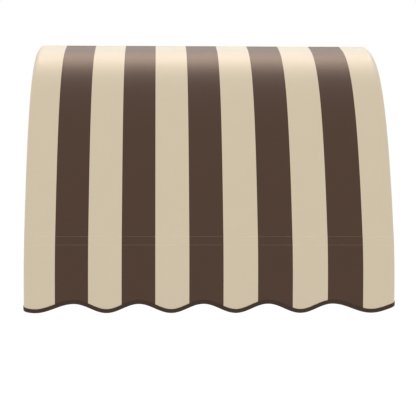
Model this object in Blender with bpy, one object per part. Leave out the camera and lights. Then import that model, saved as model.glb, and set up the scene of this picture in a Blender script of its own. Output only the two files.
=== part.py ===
# Window awning: a rounded cloth hood with wings and a scalloped valance on a knock-down tube frame.
# The wall is the plane y = 0, the awning stands out towards -Y, and +Z is up. Everything is in metres.
# The origin lies on the back of the centre bracket, halfway between its two wall screws.

import math

import bmesh
import bpy
from mathutils import Vector
from mathutils.geometry import interpolate_bezier

# Overall size
WIDTH = 1.0287  # over the tubes of both side bows
PROJECTION = 0.6096  # wall to the cloth in front of the front bar
DROP = 0.5815  # top of the cloth over the head rail to the underside of the front bar
VALANCE_DROP = 0.196  # axis of the front bar to the lowest point of the scallops

# Shape of the bows
HEAD_SLOPE = math.radians(10)  # fall of the bow where it leaves the head rail
FRONT_RAKE = math.radians(21)  # lean of the bow where it reaches the front bar
HEAD_PULL = 0.60  # share of the way to the corner of the curve, from the head end
FRONT_PULL = 0.84  # the same from the front end

# Tubes and the connectors inside them
TUBE_RADIUS = 0.0127
TUBE_WALL = 0.0016
STUB = 0.026  # length of a connector's leg from its centre to the end of the tube
SPIGOT = 0.030  # length of leg inside the tube
SPIGOT_CHAMFER = 0.0012
SCREW_INSET = 0.015  # screw behind the end of the tube
BOW_EASE = 0.004  # straight stretch of a bow past the spigot
BALL_SHARE = 0.985  # ball of a connector against the tube's radius

# Screws with hexagon heads
SCREW_RADIUS = 0.0024
SCREW_LENGTH = 0.009
SCREW_HEAD_RADIUS = 0.0052
SCREW_HEAD_HEIGHT = 0.0030

# Saddle that carries the centre bow on the front bar
SADDLE_WALL = 0.0025
SADDLE_LENGTH = 0.036
SADDLE_INNER_REACH = math.radians(80)  # round the bar, on the side away from the cloth
SADDLE_CLOTH_REACH = math.radians(40)  # round the bar, towards the cloth
SADDLE_SCREW_ANGLE = math.radians(58)

# Wall brackets
PLATE = 0.003
PLATE_HOLE_RADIUS = 0.0033
HOOK_WIDTH = 0.044
HOOK_INSET = 0.105  # centre of a hook bracket from the axis of the side tubes
HOOK_DROP = 0.084  # foot of a hook bracket's plate below the head rail's axis
HOOK_HOLES = (0.036, 0.066)  # wall screws below the head rail's axis
FOOT_PLATE_INWARD = 0.026
FOOT_PLATE_DROP = 0.064
FOOT_PLATE_RISE = 0.016
FOOT_HOLES = (0.030, 0.050)  # wall screws below the side bar's axis
FOOT_HOLE_INWARD = 0.008
FOOT_BOSS_SHARE = 0.85  # boss between ball and plate against the tube's radius

# Cloth
CLOTH = 0.001
WALL_GAP = 0.002  # back edge of the cloth to the wall
VALANCE_LEAN = math.radians(15.5)  # the valance leaves the front bar leaning out, then hangs plumb
PLUMB_LENGTH = 0.038  # plumb cloth above the binding
LEAN_STEPS = 4
STRIPE = 0.09525
STRIPE_EDGES = 10

# Scalloped edge and its binding
SCALLOP = 0.1798  # length of one wave
CORNER_SCALLOP = 0.2155  # length of the wave that goes round each front corner
SCALLOP_HEIGHT = 0.0255
SCALLOP_PEAK = -0.0176  # an upper turn of the wave on the front, from the centre line
SCALLOP_STEPS = 8
BINDING_HEIGHT = 0.010
BINDING = 0.0008

# Pockets that hold the tubes
POCKET_CLOTH = 0.0008
POCKET_MOUTH = 0.009  # half the gap between the two flanges of a pocket
POCKET_FLANGE = 0.006
POCKET_CLEAR = 0.012  # pocket's end to the nearest screw or bracket

# Fits and facets
TOUCH = 0.0003  # gap between pieces that touch
SIDES = 12
BOW_STEPS = 15
ROUND_STEPS = 5  # facets in the quarter round of the cloth over a side bow
ARC_STEPS = 12
POCKET_STEPS = 14

X_AXIS = Vector((1, 0, 0))
Y_AXIS = Vector((0, 1, 0))
Z_AXIS = Vector((0, 0, 1))

# Places that follow from the sizes above
CLOTH_INNER = (TUBE_RADIUS + TOUCH) / math.cos(math.radians(90) / ROUND_STEPS / 2)
CLOTH_OUTER = CLOTH_INNER + CLOTH
SIDE_X = WIDTH / 2 - TUBE_RADIUS
HEAD = Vector((0, -(PLATE + TOUCH + TUBE_RADIUS), sum(HOOK_HOLES) / 2))
FRONT = Vector((0, CLOTH_OUTER - PROJECTION, HEAD.z + CLOTH_OUTER + TUBE_RADIUS - DROP))
FOOT = Vector((0, HEAD.y, FRONT.z))
HEAD_RUN = Vector((0, -math.cos(HEAD_SLOPE), -math.sin(HEAD_SLOPE)))
FRONT_RUN = Vector((0, math.sin(FRONT_RAKE), math.cos(FRONT_RAKE)))
STRAIGHT_END = STUB + SPIGOT + BOW_EASE
FACET_SHARE = math.cos(math.pi / SIDES)  # flat of a faceted round against its corner
SPIGOT_RADIUS = (TUBE_RADIUS - TUBE_WALL) * FACET_SHARE - TOUCH
TUBE_FLAT = TUBE_RADIUS * FACET_SHARE
SCREW_AT = STUB + SCREW_INSET
END_SCREW_ROOM = TUBE_RADIUS - SCREW_HEAD_RADIUS / 2  # beside the neck of the centre bow
SIGNS = {"left": -1, "right": 1}


def clear_scene():
    for thing in list(bpy.data.objects):
        bpy.data.objects.remove(thing)


def material(name, colour, roughness, metallic=0.0):
    made = bpy.data.materials.new(name)
    made.use_nodes = True
    shader = made.node_tree.nodes["Principled BSDF"]
    shader.inputs["Base Color"].default_value = (*colour, 1)
    shader.inputs["Roughness"].default_value = roughness
    shader.inputs["Metallic"].default_value = metallic
    return made


def mesh_object(name, points, faces, *materials):
    """An object from points and faces, with its faces turned outwards and its round sides smooth."""
    mesh = bpy.data.meshes.new(name)
    mesh.from_pydata([tuple(p) for p in points], [], faces)
    shape = bmesh.new()
    shape.from_mesh(mesh)
    bmesh.ops.recalc_face_normals(shape, faces=shape.faces)
    shape.to_mesh(mesh)
    shape.free()
    for each in materials:
        mesh.materials.append(each)
    mesh.shade_smooth()
    mesh.set_sharp_from_angle(angle=math.radians(35))
    made = bpy.data.objects.new(name, mesh)
    bpy.context.scene.collection.objects.link(made)
    return made


def helper(made):
    """Marks an object that only cuts or joins another."""
    made.hide_render = True
    made.display_type = "WIRE"
    return made


def boolean(target, other, operation):
    step = target.modifiers.new(operation.title(), "BOOLEAN")
    step.operation = operation
    step.object = helper(other)


def turned(name, profile, foot, direction, sides, *materials):
    """A solid of revolution: profile holds (distance along direction, radius) from end to end."""
    across = direction.orthogonal().normalized()
    along = direction.cross(across)
    points = []
    for distance, radius in profile:
        centre = foot + distance * direction
        for i in range(sides):
            angle = 2 * math.pi * (i + 0.5) / sides
            points.append(centre + radius * (math.cos(angle) * across + math.sin(angle) * along))
    faces = [tuple(range(sides)), tuple(range(len(points) - sides, len(points)))]
    for ring in range(len(profile) - 1):
        for i in range(sides):
            j = (i + 1) % sides
            low, high = ring * sides, (ring + 1) * sides
            faces.append((low + i, low + j, high + j, high + i))
    return mesh_object(name, points, faces, *materials)


def extruded(name, outline, run, *materials):
    """A prism: outline holds points of one flat face, and run is the vector to the other."""
    points = list(outline) + [p + run for p in outline]
    n = len(outline)
    faces = [tuple(range(n)), tuple(range(n, 2 * n))]
    faces += [(i, (i + 1) % n, n + (i + 1) % n, n + i) for i in range(n)]
    return mesh_object(name, points, faces, *materials)


def arc(centre, radius, start, end, steps=ARC_STEPS):
    """Points in a plane of constant x: angles are measured from +Y towards +Z."""
    angles = [start + (end - start) * i / steps for i in range(steps + 1)]
    return [centre + radius * Vector((0, math.cos(a), math.sin(a))) for a in angles]


def flat_angle(vector):
    return math.atan2(vector.z, vector.y)


def outward(run):
    """The normal on the cloth's side of a line that runs down from the head."""
    return -X_AXIS.cross(run).normalized()


def tangents(path):
    """Direction at each point: the ends follow their segment, the rest halve the bend."""
    runs = [(b - a).normalized() for a, b in zip(path, path[1:])]
    halves = [(a + b).normalized() for a, b in zip(runs, runs[1:])]
    return [runs[0], *halves, runs[-1]]


def mitres(path):
    """Stretch of an offset at each point that keeps it parallel to the segments."""
    runs = [(b - a).normalized() for a, b in zip(path, path[1:])]
    stretch = [1 / math.cos(a.angle(b) / 2) for a, b in zip(runs, runs[1:])]
    return [1, *stretch, 1]


def cloth_offsets(line):
    """For each point of the cloth's line, the vector to a parallel line one unit further out."""
    return [outward(run) * stretch for run, stretch in zip(tangents(line), mitres(line))]


def hollow_tube(name, path, side, finish):
    """A round tube along a path that lies in the plane across side."""
    points = []
    for place, run in zip(path, tangents(path)):
        up = run.cross(side)
        for radius in (TUBE_RADIUS, TUBE_RADIUS - TUBE_WALL):
            for i in range(SIDES):
                angle = 2 * math.pi * (i + 0.5) / SIDES
                points.append(place + radius * (math.cos(angle) * side + math.sin(angle) * up))
    ring = 2 * SIDES
    last = ring * (len(path) - 1)
    faces = []
    for i in range(SIDES):
        j = (i + 1) % SIDES
        for foot in range(0, last, ring):
            faces.append((foot + i, foot + j, foot + ring + j, foot + ring + i))
            inner = foot + SIDES
            faces.append((inner + j, inner + i, inner + ring + i, inner + ring + j))
        faces.append((i, SIDES + i, SIDES + j, j))
        faces.append((last + i, last + j, last + SIDES + j, last + SIDES + i))
    return mesh_object(name, points, faces, finish)


def bow_line():
    """Axis of a bow from the head rail to the front bar, on the centre plane."""
    start = HEAD + STRAIGHT_END * HEAD_RUN
    end = FRONT + STRAIGHT_END * FRONT_RUN
    across = end - start
    turn = HEAD_RUN.cross(FRONT_RUN).x
    corner_from_start = across.cross(FRONT_RUN).x / turn
    corner_from_end = across.cross(HEAD_RUN).x / turn
    corner_pull = start + HEAD_PULL * corner_from_start * HEAD_RUN
    end_pull = end + FRONT_PULL * corner_from_end * FRONT_RUN
    return list(interpolate_bezier(start, corner_pull, end_pull, end, BOW_STEPS + 1))


def valance_line():
    """Axis line of the hanging cloth below the front bar: it leans out and turns plumb."""
    slope = math.tan(VALANCE_LEAN)
    length = VALANCE_DROP - SCALLOP_HEIGHT - BINDING_HEIGHT - PLUMB_LENGTH
    line = []
    for i in range(1, LEAN_STEPS + 1):
        down = length * i / LEAN_STEPS
        out = slope * (down - down * down / (2 * length))
        line.append(FRONT - Vector((0, out, down)))
    foot = line[-1].copy()
    foot.z = FRONT.z - VALANCE_DROP
    return [*line, foot]


def cloth_line():
    """Axis line of the whole cloth, from the wall over the bow to the foot of the valance."""
    wall = Vector((0, -WALL_GAP, HEAD.z))
    return [wall, HEAD, *bow_line(), FRONT, *valance_line()]


def waves_to(along):
    """Whole and part waves from the peak near the centre line to a distance along the valance."""
    run = along - SCALLOP_PEAK
    sign = 1 if run > 0 else -1
    on_front = math.floor((SIDE_X - sign * SCALLOP_PEAK) / SCALLOP)
    past = abs(run) - on_front * SCALLOP
    if past < 0:
        return abs(run) / SCALLOP
    round_corner = min(past, CORNER_SCALLOP)
    return on_front + round_corner / CORNER_SCALLOP + (past - round_corner) / SCALLOP


def wave(along):
    """Height of the scalloped edge at a distance along the valance from the centre line."""
    lowest = FRONT.z - VALANCE_DROP
    return lowest + SCALLOP_HEIGHT * (1 + math.cos(2 * math.pi * waves_to(along))) / 2


def round_length():
    return (CLOTH_INNER + CLOTH / 2) * math.pi / 2


def front_stations():
    """Places along the front edge of the valance: the ends, the stripe edges and steps of the wave."""
    step = SCALLOP / SCALLOP_STEPS
    first = math.ceil((-SIDE_X - SCALLOP_PEAK) / step)
    last = math.floor((SIDE_X - SCALLOP_PEAK) / step)
    steps = [SCALLOP_PEAK + i * step for i in range(first, last + 1)]
    fixed = [-SIDE_X, SIDE_X, *stripe_edges()]
    close = step / 4
    steps = [s for s in steps if all(abs(s - f) > close for f in fixed)]
    return sorted(fixed + steps)


def side_stations(sign):
    """Places along a wing's scalloped edge, as (distance along the valance, y), from the front."""
    front_y = cloth_line()[-1].y
    length = -WALL_GAP - front_y
    count = round(length / (SCALLOP / SCALLOP_STEPS))
    turn = SIDE_X + round_length()
    return [
        (sign * (turn + length * i / count), front_y + length * i / count)
        for i in range(count + 1)
    ]


def stripe_edges():
    """Where one colour of the cloth meets the next, across the front."""
    edges = [(i - (STRIPE_EDGES - 1) / 2) * STRIPE for i in range(STRIPE_EDGES)]
    return [x for x in edges if abs(x) < SIDE_X - STRIPE / 10]


def stripe_of(along):
    """1 for the dark colour, as in the middle of the front, and 0 for the pale one."""
    return (math.floor(along / STRIPE + 0.5) + 1) % 2


def cloth_columns():
    """Columns of the cover as (x of the axis, angle of the round, side), from left to right."""
    angles = [math.radians(90) * i / ROUND_STEPS for i in range(1, ROUND_STEPS + 1)]
    left = [(-SIDE_X, a, -1) for a in reversed(angles)]
    right = [(SIDE_X, a, 1) for a in angles]
    flat = [(x, 0.0, 1) for x in (-SIDE_X, *stripe_edges(), SIDE_X)]
    return left + flat + right


def make_cover(*cloths):
    """Roof, front and front valance in one sheet that rounds over the side bows."""
    columns = cloth_columns()
    line = cloth_line()
    offsets = cloth_offsets(line)
    points = []

    def add(place, normal, column, height=None):
        x, angle, sign = column
        pair = []
        for radius in (CLOTH_OUTER, CLOTH_INNER):
            spot = place + normal * radius * math.cos(angle)
            spot.x = x + sign * radius * math.sin(angle)
            if height is not None:
                spot.z = height
            points.append(spot)
            pair.append(len(points) - 1)
        return pair

    rows = [[add(p, n, c) for c in columns] for p, n in zip(line[:-1], offsets)]
    last = len(columns) - 1
    arc_length = round_length() / math.radians(90)
    edge = []
    for x, angle, sign in columns:
        along = x + sign * angle * arc_length
        edge.append(add(line[-1], offsets[-1], (x, angle, sign), wave(along)))
    between = []
    for a, b in zip(columns, columns[1:]):
        spots = [s for s in front_stations() if a[0] < s < b[0]]
        between.append([add(line[-1], offsets[-1], (s, 0.0, 1), wave(s)) for s in spots])

    faces, slots = [], []

    def face(*corners, slot=0):
        faces.append(tuple(corners))
        slots.append(slot)

    for c in range(last):
        middle = (columns[c][0] + columns[c + 1][0]) / 2
        slot = stripe_of(middle)
        for r in range(len(rows) - 1):
            for layer in (0, 1):
                a, b = rows[r][c][layer], rows[r][c + 1][layer]
                d, e = rows[r + 1][c + 1][layer], rows[r + 1][c][layer]
                face(a, b, d, e, slot=slot)
        bottom = [edge[c], *between[c], edge[c + 1]]
        for layer in (0, 1):
            low = [pair[layer] for pair in reversed(bottom)]
            face(rows[-1][c][layer], rows[-1][c + 1][layer], *low, slot=slot)
        for a, b in zip(bottom, bottom[1:]):
            face(a[0], b[0], b[1], a[1], slot=slot)
        face(rows[0][c][0], rows[0][c][1], rows[0][c + 1][1], rows[0][c + 1][0], slot=slot)
    ends = rows + [edge]
    for c in (0, last):
        for a, b in zip(ends, ends[1:]):
            face(a[c][0], b[c][0], b[c][1], a[c][1])
    cover = mesh_object("cover", points, faces, *cloths)
    cover.data.polygons.foreach_set("material_index", slots)
    return cover


def make_wing(side, *cloths):
    """Side panel with its own length of valance, flat, sewn to the cover along the bow."""
    sign = SIGNS[side]
    line = cloth_line()
    rim = [p - TOUCH * offset for p, offset in zip(line[:-1], cloth_offsets(line))]
    front_edge = line[-1].y + TOUCH
    bottom = [
        Vector((0, max(y, front_edge), wave(along))) for along, y in side_stations(sign)
    ]
    outline = rim + bottom
    start = X_AXIS * sign * (SIDE_X + CLOTH_INNER)
    wing = extruded("wing_" + side, [start + p for p in outline], X_AXIS * sign * CLOTH, *cloths)
    shape = bmesh.new()
    shape.from_mesh(wing.data)
    turn = SIDE_X + round_length()
    front_y = line[-1].y
    first = math.ceil(turn / STRIPE - 0.5)
    cut = (first + 0.5) * STRIPE - turn + front_y
    while cut < -WALL_GAP:
        everything = shape.verts[:] + shape.edges[:] + shape.faces[:]
        bmesh.ops.bisect_plane(shape, geom=everything, plane_co=(0, cut, 0), plane_no=Y_AXIS)
        cut += STRIPE
    for each in shape.faces:
        each.material_index = stripe_of(turn + each.calc_center_median().y - front_y)
    shape.to_mesh(wing.data)
    shape.free()
    return wing


def edge_path():
    """The bottom edge of the valance round three sides, as (point, outward normal)."""
    line = cloth_line()
    radius = CLOTH_INNER + CLOTH / 2
    front_y = line[-1].y
    arc_length = round_length() / math.radians(90)
    path = []
    for along, y in reversed(side_stations(-1)[1:]):
        path.append((Vector((-SIDE_X - radius, y, wave(along))), -X_AXIS))
    for x, angle, sign in cloth_columns():
        if angle == 0:
            continue
        normal = Vector((sign * math.sin(angle), -math.cos(angle), 0))
        spot = Vector((x, front_y, 0)) + radius * normal
        spot.z = wave(x + sign * angle * arc_length)
        path.append((spot, normal))
    corner = ROUND_STEPS + len(side_stations(-1)) - 1
    flat = [(Vector((x, front_y - radius, wave(x))), -Y_AXIS) for x in front_stations()]
    path[corner:corner] = flat
    for along, y in side_stations(1)[1:]:
        path.append((Vector((SIDE_X + radius, y, wave(along))), X_AXIS))
    return path


def make_binding(braid):
    """Braid folded over the scalloped edge, all the way round."""
    path = edge_path()
    runs = tangents([p for p, _ in path])
    slot = CLOTH / 2 + TOUCH
    face = slot + BINDING
    top, floor, foot = BINDING_HEIGHT, -TOUCH, -TOUCH - BINDING
    section = [(face, foot), (face, top), (slot, top), (slot, floor)]
    section += [(-across, up) for across, up in reversed(section)]
    points = []
    for (place, normal), run in zip(path, runs):
        upright = Z_AXIS / math.hypot(run.x, run.y)  # keeps the braid's width on the slopes
        points += [place + across * normal + up * upright for across, up in section]
    n = len(section)
    last = n * (len(path) - 1)
    faces = [tuple(range(n)), tuple(range(last, last + n))]
    for ring in range(0, last, n):
        for i in range(n):
            j = (i + 1) % n
            faces.append((ring + i, ring + j, ring + n + j, ring + n + i))
    return mesh_object("valance_binding", points, faces, braid)


def pocket_outline(first, second):
    """Section of a pocket round a tube at the origin of a plane, as (u, v) pairs.

    first and second are the angles of the cloth's normal on either side of the tube."""
    middle = TUBE_RADIUS + TOUCH + POCKET_CLOTH
    seat = CLOTH_INNER - TOUCH - POCKET_CLOTH / 2
    half = POCKET_CLOTH / 2

    def spot(angle, along, out):
        normal = (math.cos(angle), math.sin(angle))
        return (normal[0] * out - normal[1] * along, normal[1] * out + normal[0] * along)

    reach = math.hypot(POCKET_MOUTH, seat)
    lift = math.atan2(POCKET_MOUTH, seat) + math.acos(middle / reach)
    turn = second - first - 2 * lift + 2 * math.pi
    middle /= math.cos(turn / POCKET_STEPS / 2)
    outer_end = POCKET_MOUTH + POCKET_FLANGE
    centre = [spot(first, outer_end, seat), spot(first, POCKET_MOUTH, seat)]
    for i in range(POCKET_STEPS + 1):
        angle = first + lift + turn * i / POCKET_STEPS
        centre.append((middle * math.cos(angle), middle * math.sin(angle)))
    centre += [spot(second, -POCKET_MOUTH, seat), spot(second, -outer_end, seat)]

    def offset(distance):
        made = []
        for i, (u, v) in enumerate(centre):
            before = centre[max(i - 1, 0)]
            after = centre[min(i + 1, len(centre) - 1)]
            a = math.atan2(v - before[1], u - before[0]) if i else None
            b = math.atan2(after[1] - v, after[0] - u) if after != (u, v) else a
            a = b if a is None else a
            bend = (b - a + math.pi) % (2 * math.pi) - math.pi
            normal = a + bend / 2 + math.pi / 2
            reach_out = distance / math.cos(bend / 2)
            made.append((u + reach_out * math.cos(normal), v + reach_out * math.sin(normal)))
        return made

    return offset(half) + offset(-half)[::-1]


def make_pocket(name, start, end, u_axis, v_axis, first, second, strip):
    """Strip of cloth sewn behind a tube from start to end."""
    outline = [start + u * u_axis + v * v_axis for u, v in pocket_outline(first, second)]
    return extruded(name, outline, end - start, strip)


def fasten(name, place, direction, seat, targets, finish):
    """A hexagon screw driven towards the axis at place, and its hole in each target."""
    tip = seat - SCREW_LENGTH
    under = seat + TOUCH
    top = under + SCREW_HEAD_HEIGHT
    crown = SCREW_HEAD_RADIUS * 0.85
    shoulder = top - SCREW_HEAD_RADIUS * 0.15
    profile = [
        (tip, SCREW_RADIUS),
        (under, SCREW_RADIUS),
        (under, SCREW_HEAD_RADIUS),
        (shoulder, SCREW_HEAD_RADIUS),
        (top, crown),
    ]
    turned(name, profile, place, direction, 6, finish)
    bore = SCREW_RADIUS + TOUCH
    reach = [(tip - TOUCH, bore), (under + SCREW_HEAD_HEIGHT, bore)]
    cutter = turned(name + "_hole", reach, place, direction, 8)
    for target in targets:
        boolean(target, cutter, "DIFFERENCE")


def leg(name, node, direction, finish, root=0):
    """One leg of a connector: a stub as thick as the tube, then the spigot inside it."""
    end = STUB + SPIGOT
    profile = [
        (root, TUBE_RADIUS),
        (STUB - TOUCH, TUBE_RADIUS),
        (STUB - TOUCH, SPIGOT_RADIUS),
        (end - SPIGOT_CHAMFER, SPIGOT_RADIUS),
        (end, SPIGOT_RADIUS - SPIGOT_CHAMFER),
    ]
    return turned(name, profile, node, direction, SIDES, finish)


def ball(name, node, finish):
    radius = TUBE_RADIUS * BALL_SHARE
    stack = 6
    angles = [math.pi * (i + 0.5) / stack for i in range(stack)]
    profile = [(-radius * math.cos(a), radius * math.sin(a)) for a in angles]
    return turned(name, profile, node, Z_AXIS, SIDES, finish)


def make_connector(name, node, legs, casting, zinc):
    """A cast corner: legs holds (direction, screw direction, tube that it carries)."""
    body = ball(name, node, casting)
    for i, (direction, _, _) in enumerate(legs, 1):
        boolean(body, leg(f"{name}_leg_{i}", node, direction, casting), "UNION")
    for i, (direction, screw_way, tube) in enumerate(legs, 1):
        spot = node + SCREW_AT * direction
        fasten(f"{name}_screw_{i}", spot, screw_way, TUBE_FLAT, (body, tube), zinc)
    return body


def make_saddle(name, bow, bar, casting, zinc):
    """Half shell on the front bar with a spigot into the centre bow, screwed to both."""
    toward = flat_angle(FRONT_RUN)
    start = toward + SADDLE_CLOTH_REACH
    end = toward - SADDLE_INNER_REACH
    inner = (TUBE_RADIUS + TOUCH) / math.cos((end - start) / ARC_STEPS / 2)
    outer = inner + SADDLE_WALL
    corner = FRONT - X_AXIS * SADDLE_LENGTH / 2
    shell = arc(corner, inner, start, end) + arc(corner, outer, end, start)
    body = extruded(name, shell, X_AXIS * SADDLE_LENGTH, casting)
    neck = leg(name + "_neck", FRONT, FRONT_RUN, casting, root=inner + SADDLE_WALL / 2)
    boolean(body, neck, "UNION")
    bow_spot = FRONT + SCREW_AT * FRONT_RUN
    fasten(name + "_screw_bow", bow_spot, -outward(-FRONT_RUN), TUBE_FLAT, (body, bow), zinc)
    angle = toward - SADDLE_SCREW_ANGLE
    bar_way = Vector((0, math.cos(angle), math.sin(angle)))
    bar_spot = FRONT + X_AXIS * END_SCREW_ROOM
    fasten(name + "_screw_bar", bar_spot, bar_way, outer, (body, bar), zinc)
    return body


def make_hook(name, centre_x, rail, casting, zinc, screw_x=0):
    """Wall bracket: a plate with a cradle that the head rail is lowered into and screwed to."""
    inner = (TUBE_RADIUS + TOUCH) / math.cos(math.pi / ARC_STEPS / 2)
    outer = -HEAD.y
    back = math.acos((outer - PLATE) / outer)
    cradle = arc(HEAD, inner, 0, -math.pi)
    cradle[0].y = -PLATE
    shell = arc(HEAD, outer, -math.pi, -back)
    low, high = HEAD.z - HOOK_DROP, HEAD.z
    plate = [Vector((0, -PLATE, low)), Vector((0, 0, low)), Vector((0, 0, high))]
    corner = X_AXIS * (centre_x - HOOK_WIDTH / 2)
    outline = [corner + p for p in cradle + shell + plate]
    hook = extruded(name, outline, X_AXIS * HOOK_WIDTH, casting)
    for i, drop in enumerate(HOOK_HOLES, 1):
        drill_wall_hole(hook, f"{name}_hole_{i}", Vector((centre_x, 0, HEAD.z - drop)))
    place = HEAD + X_AXIS * (centre_x + screw_x)
    fasten(name + "_screw", place, -Z_AXIS, outer, (hook, rail), zinc)
    return hook


def make_centre_hook(bow, rail, casting, zinc):
    """The centre wall bracket also carries the head end of the centre bow on a neck."""
    name = "hook_bracket_centre"
    hook = make_hook(name, 0, rail, casting, zinc, END_SCREW_ROOM)
    root = (TUBE_RADIUS + TOUCH - HEAD.y) / 2
    boolean(hook, leg(name + "_neck", HEAD, HEAD_RUN, casting, root=root), "UNION")
    spot = HEAD + SCREW_AT * HEAD_RUN
    fasten(name + "_screw_bow", spot, -outward(HEAD_RUN), TUBE_FLAT, (hook, bow), zinc)
    return hook


def drill_wall_hole(target, name, place):
    reach = [(-PLATE, PLATE_HOLE_RADIUS), (2 * PLATE, PLATE_HOLE_RADIUS)]
    boolean(target, turned(name, reach, place, -Y_AXIS, SIDES), "DIFFERENCE")


def make_foot(side, post, side_bar, casting, zinc):
    """Lower wall corner: joins post and side bar, and carries the wall plate."""
    sign = SIGNS[side]
    node = FOOT + X_AXIS * sign * SIDE_X
    name = "foot_bracket_" + side
    inward = -sign * X_AXIS
    legs = [(Z_AXIS, inward, post), (-Y_AXIS, inward, side_bar)]
    body = ball(name, node, casting)
    for i, (direction, _, _) in enumerate(legs, 1):
        boolean(body, leg(f"{name}_leg_{i}", node, direction, casting), "UNION")
    boss = [(0, TUBE_RADIUS * FOOT_BOSS_SHARE), (-node.y - PLATE / 2, TUBE_RADIUS * FOOT_BOSS_SHARE)]
    boolean(body, turned(name + "_boss", boss, node, Y_AXIS, SIDES, casting), "UNION")
    outer_x = sign * (SIDE_X + TUBE_RADIUS * FOOT_BOSS_SHARE)
    inner_x = sign * (SIDE_X - FOOT_PLATE_INWARD)
    low, high = node.z - FOOT_PLATE_DROP, node.z + FOOT_PLATE_RISE
    corners = [(outer_x, low), (outer_x, high), (inner_x, high), (inner_x, low)]
    plate = extruded(name + "_plate", [Vector((x, 0, z)) for x, z in corners], -Y_AXIS * PLATE, casting)
    boolean(body, plate, "UNION")
    for i, drop in enumerate(FOOT_HOLES, 1):
        place = Vector((sign * (SIDE_X - FOOT_HOLE_INWARD), 0, node.z - drop))
        drill_wall_hole(body, f"{name}_hole_{i}", place)
    for i, (direction, screw_way, tube) in enumerate(legs, 1):
        spot = node + SCREW_AT * direction
        fasten(f"{name}_screw_{i}", spot, screw_way, TUBE_FLAT, (body, tube), zinc)
    return body


def make_bow(name, x, steel):
    ends = [HEAD + STUB * HEAD_RUN, FRONT + STUB * FRONT_RUN]
    path = [ends[0], *bow_line(), ends[1]]
    return hollow_tube(name, [p + X_AXIS * x for p in path], X_AXIS, steel)


def make_rail(name, node, steel):
    reach = X_AXIS * (SIDE_X - STUB)
    return hollow_tube(name, [node - reach, node + reach], Z_AXIS, steel)


def make_frame(steel, casting, zinc):
    head_rail = make_rail("head_rail", HEAD, steel)
    front_bar = make_rail("front_bar", FRONT, steel)
    for side, sign in SIGNS.items():
        out = X_AXIS * sign * SIDE_X
        inward = -sign * X_AXIS
        bow = make_bow("side_bow_" + side, out.x, steel)
        bar_ends = [FRONT + out + STUB * Y_AXIS, FOOT + out - STUB * Y_AXIS]
        side_bar = hollow_tube("side_bar_" + side, bar_ends, X_AXIS, steel)
        post_ends = [HEAD + out - STUB * Z_AXIS, FOOT + out + STUB * Z_AXIS]
        post = hollow_tube("wall_post_" + side, post_ends, X_AXIS, steel)
        head_legs = [
            (inward, -Z_AXIS, head_rail),
            (HEAD_RUN, -outward(HEAD_RUN), bow),
            (-Z_AXIS, inward, post),
        ]
        make_connector("head_corner_" + side, HEAD + out, head_legs, casting, zinc)
        front_legs = [
            (inward, Y_AXIS, front_bar),
            (FRONT_RUN, -outward(-FRONT_RUN), bow),
            (Y_AXIS, inward, side_bar),
        ]
        make_connector("front_corner_" + side, FRONT + out, front_legs, casting, zinc)
        make_foot(side, post, side_bar, casting, zinc)
        hook_x = sign * (SIDE_X - HOOK_INSET)
        make_hook("hook_bracket_" + side, hook_x, head_rail, casting, zinc)
    centre_bow = make_bow("centre_bow", 0, steel)
    make_centre_hook(centre_bow, head_rail, casting, zinc)
    make_saddle("front_saddle", centre_bow, front_bar, casting, zinc)


def make_pockets(strip):
    """Strips that hold the cloth to the front bar, head rail, side bars and posts."""
    clear_end = SCREW_AT + SCREW_HEAD_RADIUS + POCKET_CLEAR
    from_saddle = SADDLE_LENGTH / 2 + POCKET_CLEAR
    from_hook = HOOK_WIDTH / 2 + POCKET_CLEAR
    to_corner = SIDE_X - clear_end
    to_hook = SIDE_X - HOOK_INSET - HOOK_WIDTH / 2 - POCKET_CLEAR
    head_front = flat_angle(outward(HEAD_RUN))
    front_above = flat_angle(outward(-FRONT_RUN))
    front_below = flat_angle(outward(valance_line()[0] - FRONT))
    for side, sign in SIGNS.items():
        axis = sign * X_AXIS
        ends = (HEAD + from_hook * axis, HEAD + to_hook * axis)
        make_pocket("head_pocket_" + side, *ends, Y_AXIS, Z_AXIS, head_front, math.pi / 2, strip)
        ends = (FRONT + from_saddle * axis, FRONT + to_corner * axis)
        make_pocket("front_pocket_" + side, *ends, Y_AXIS, Z_AXIS, front_below, front_above, strip)
        out = SIDE_X * axis
        ends = (FRONT + out + clear_end * Y_AXIS, FOOT + out - clear_end * Y_AXIS)
        make_pocket("side_pocket_" + side, *ends, axis, Z_AXIS, 0, 0, strip)
        ends = (HEAD + out - clear_end * Z_AXIS, FOOT + out + clear_end * Z_AXIS)
        make_pocket("post_pocket_" + side, *ends, axis, Y_AXIS, 0, 0, strip)


def make_awning():
    clear_scene()
    pale_cloth = material("pale_canvas", (0.62, 0.53, 0.39), 0.85)
    dark_cloth = material("dark_canvas", (0.085, 0.051, 0.037), 0.85)
    braid = material("dark_braid", (0.060, 0.035, 0.026), 0.8)
    strip = material("pocket_canvas", (0.62, 0.53, 0.39), 0.85)
    steel = material("galvanised_steel", (0.52, 0.53, 0.54), 0.42, metallic=1.0)
    casting = material("cast_aluminium", (0.58, 0.58, 0.57), 0.5, metallic=1.0)
    zinc = material("zinc_plate", (0.62, 0.62, 0.60), 0.35, metallic=1.0)
    make_frame(steel, casting, zinc)
    make_cover(pale_cloth, dark_cloth)
    for side in SIGNS:
        make_wing(side, pale_cloth, dark_cloth)
    make_binding(braid)
    make_pockets(strip)


make_awning()
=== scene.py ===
import bisect
import math

import bpy
from mathutils import Matrix, Vector, noise
from mathutils.geometry import interpolate_bezier


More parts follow.
